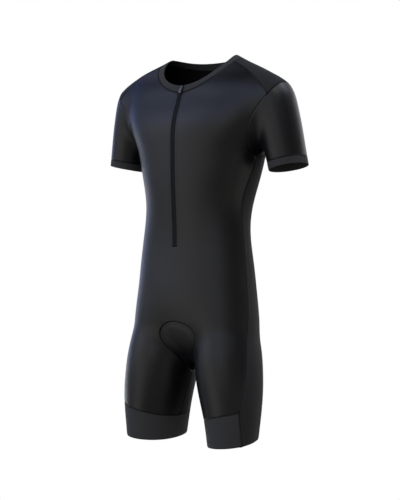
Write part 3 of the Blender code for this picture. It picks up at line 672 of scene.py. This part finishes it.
# ---------------------------------------------------------------- zip
def zip_tape_piece():
    """The tape, sunk between the cloth edges and lapped under them."""
    bm = smoothed(outer_skin("zip_tape", BEHIND_ZIP), "zip_tape", FINE_SMOOTHING)
    # the tape gets no painted shade along its edges
    painted_shade_layer = bm.verts.layers.float.new("painted_shade_factor")
    bottom = min(vert.co.z for vert in bm.verts)
    for vert in bm.verts:
        vert[painted_shade_layer] = 1.0
        if vert.co.z < bottom + ZIP_END:
            vert.co.z -= TAPE_LAP
        if vert.is_boundary and vert.co.x:
            vert.co.x += math.copysign(TAPE_LAP, vert.co.x)
        vert.co -= vert.normal * TAPE_SUNK
    map_cloth(bm, middle=(0, 0.2, 0), axis=UP, radius=0.30)
    tape = shaded_piece(bm, "zip_tape_cloth", ["tape", "tape"])
    give_wall(tape, TAPE_WALL)
    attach(tape, "suit")
    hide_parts("zip_tape")
    return tape


def zip_coils(tape):
    """Two rows of coil turns down the middle of the tape."""
    tree = BVHTree.FromPolygons([vert.co for vert in tape.data.vertices],
                                [face.vertices for face in tape.data.polygons])
    low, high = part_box("zip_tape")
    in_front, backwards = low.y - 0.2, Vector((0, 1, 0))  # each turn is dropped on to the tape from here
    shape = bead(COIL_LENGTH, COIL_RADIUS, sides=6)
    bm = bmesh.new()
    for i in range(int((high.z - low.z - 2 * COIL_END) / COIL_PITCH)):
        for side in (-1, 1):
            z = low.z + COIL_END + (i + side / 4) * COIL_PITCH
            hit, normal, _, _ = tree.ray_cast(Vector((side * COIL_OUT, in_front, z)), backwards)
            if hit is not None:
                lay(bm, shape, hit, Vector(ACROSS), normal)
    coils = shaded_piece(bm, "zip_coils", ["coil"])
    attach(coils, "suit")
    bpy.data.meshes.remove(shape)


def hardware(node, body):
    """A zip part: its solid with the edges rounded over."""
    bm = packed_copy(node)
    bmesh.ops.dissolve_limit(bm, angle_limit=METAL_FLAT, verts=bm.verts, edges=bm.edges)
    part = shaded_piece(bm, node + "_metal", ["metal"])
    rounding = part.modifiers.new("rounding", "BEVEL")
    rounding.width, rounding.segments, rounding.limit_method = METAL_ROUNDING, 2, "ANGLE"
    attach(part, body)
    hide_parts(node)


# ---------------------------------------------------------------- floor, light and camera
FLOOR_DROP, FLOOR_RADIUS = 1.45, 1.9  # the floor that the wearer would stand on
CAMERA_TURN, CAMERA_PITCH = math.radians(37.0), math.radians(1.02)  # towards the wearer's left, and down
CAMERA_AWAY, CAMERA_HEIGHT = 2.8, -0.385
CAMERA_LENS, CAMERA_SENSOR, CAMERA_NEAR, CAMERA_FAR = 89.28, 36.0, 0.05, 200.0  # the first two in millimetres
GLOWS = (
    # azimuth from the front towards the wearer's left, elevation, spread, radiance
    (36, -35, 16, (0.20, 0.20, 0.19)),
    (-36, -35, 16, (0.36, 0.34, 0.31)),
    (70, -12, 13, (0.35, 0.34, 0.32)),
    (114, -12, 13, (0.60, 0.60, 0.57)),
    (-110, -12, 13, (1.40, 1.42, 1.30)),
    (-20, -12, 13, (0.63, 0.62, 0.60)),
    (5, 12, 13, (0.49, 0.47, 0.43)),
    (28, 12, 13, (0.36, 0.35, 0.35)),
    (162, 12, 13, (0.60, 0.58, 0.54)),
    (-175, 12, 13, (1.25, 1.25, 1.32)),
    (-108, 12, 13, (0.15, 0.28, 0.95)),
    (-62, 12, 13, (0.52, 0.57, 0.66)),
    (-40, 12, 13, (0.61, 0.58, 0.57)),
    (5, 33, 10, (0.52, 0.69, 1.22)),
    (-55, 33, 10, (0.19, 0.28, 0.55)),
    (-35, 33, 10, (0.90, 1.00, 1.38)),
    (55, 53, 10, (2.70, 2.70, 2.75)),
    (133, 53, 10, (3.40, 3.50, 4.20)),
    (-99, 53, 10, (0.60, 0.61, 0.77)),
)


def pale_floor():
    """A plain disc far below. It leaves the light on the suit alone, and isn't seen from beneath."""
    bm = bmesh.new()
    bmesh.ops.create_circle(bm, cap_ends=True, segments=96, radius=FLOOR_RADIUS,
                            matrix=Matrix.Translation((0, 0, -FLOOR_DROP)))
    floor = placed("floor", mesh_of(bm, "floor"))
    paint = Paint("floor_paint", {"Base Color": (0.35, 0.35, 0.34), "Roughness": 0.9,
                                  "Emission Color": (1.0, 1.0, 1.0), "Emission Strength": 0.78})
    paint.set("Alpha", 1 - paint.node("ShaderNodeNewGeometry", output="Backfacing"))
    floor.data.materials.append(paint.material)
    floor.visible_glossy = floor.visible_diffuse = floor.visible_shadow = False


def studio():
    """Soft glows round a dark room. The camera sees a white backdrop instead."""
    world = bpy.data.worlds.new("studio")
    world.use_nodes = True
    room = Graph(world.node_tree)
    way = room.node("ShaderNodeTexCoord", output="Generated")
    light = (0.0, 0.0, 0.0)
    for azimuth, elevation, spread, radiance in GLOWS:
        turn, lift, sharp = math.radians(azimuth), math.radians(elevation), math.radians(spread) ** -2
        towards = (math.sin(turn) * math.cos(lift), -math.cos(turn) * math.cos(lift), math.sin(lift))
        near = room.node("ShaderNodeVectorMath", {"operation": "DOT_PRODUCT"}, [way, towards], output="Value")
        glow = room.node("ShaderNodeMath", {"operation": "EXPONENT"}, [near * sharp - sharp])
        tinted = room.node("ShaderNodeVectorMath", {"operation": "SCALE"}, {0: radiance, "Scale": glow})
        light = room.node("ShaderNodeVectorMath", {"operation": "ADD"}, [light, tinted])
    dome = room.node("ShaderNodeBackground", sockets={"Color": light})
    white = room.node("ShaderNodeBackground", sockets={"Color": (1.0, 1.0, 1.0)})
    seen = room.node("ShaderNodeLightPath", output="Is Camera Ray")
    pick = room.node("ShaderNodeMixShader", sockets=[seen, dome, white])
    room.plug(room.tree.nodes["World Output"].inputs["Surface"], pick)
    bpy.context.scene.world = world


def camera():
    data = bpy.data.cameras.new("camera")
    data.lens, data.sensor_width = CAMERA_LENS, CAMERA_SENSOR
    data.clip_start, data.clip_end = CAMERA_NEAR, CAMERA_FAR
    made = placed("camera", data)
    out = Vector((math.sin(CAMERA_TURN), -math.cos(CAMERA_TURN), 0))
    made.location = out * CAMERA_AWAY + Vector((0, 0, CAMERA_HEIGHT))
    look = Vector((0, 0, -math.sin(CAMERA_PITCH))) - out * math.cos(CAMERA_PITCH)
    made.rotation_mode = "QUATERNION"
    made.rotation_quaternion = look.to_track_quat("-Z", "Y")
    bpy.context.scene.camera = made


# ---------------------------------------------------------------- build
sew({node: cloth_piece(node) for node in NEIGHBOURS if node != "zip_tape"})
zip_coils(zip_tape_piece())
hardware("zip_slider", "suit")
hardware("zip_pull", "pull_tab")
pale_floor()
studio()
camera()
bpy.context.scene.view_settings.view_transform = "Standard"
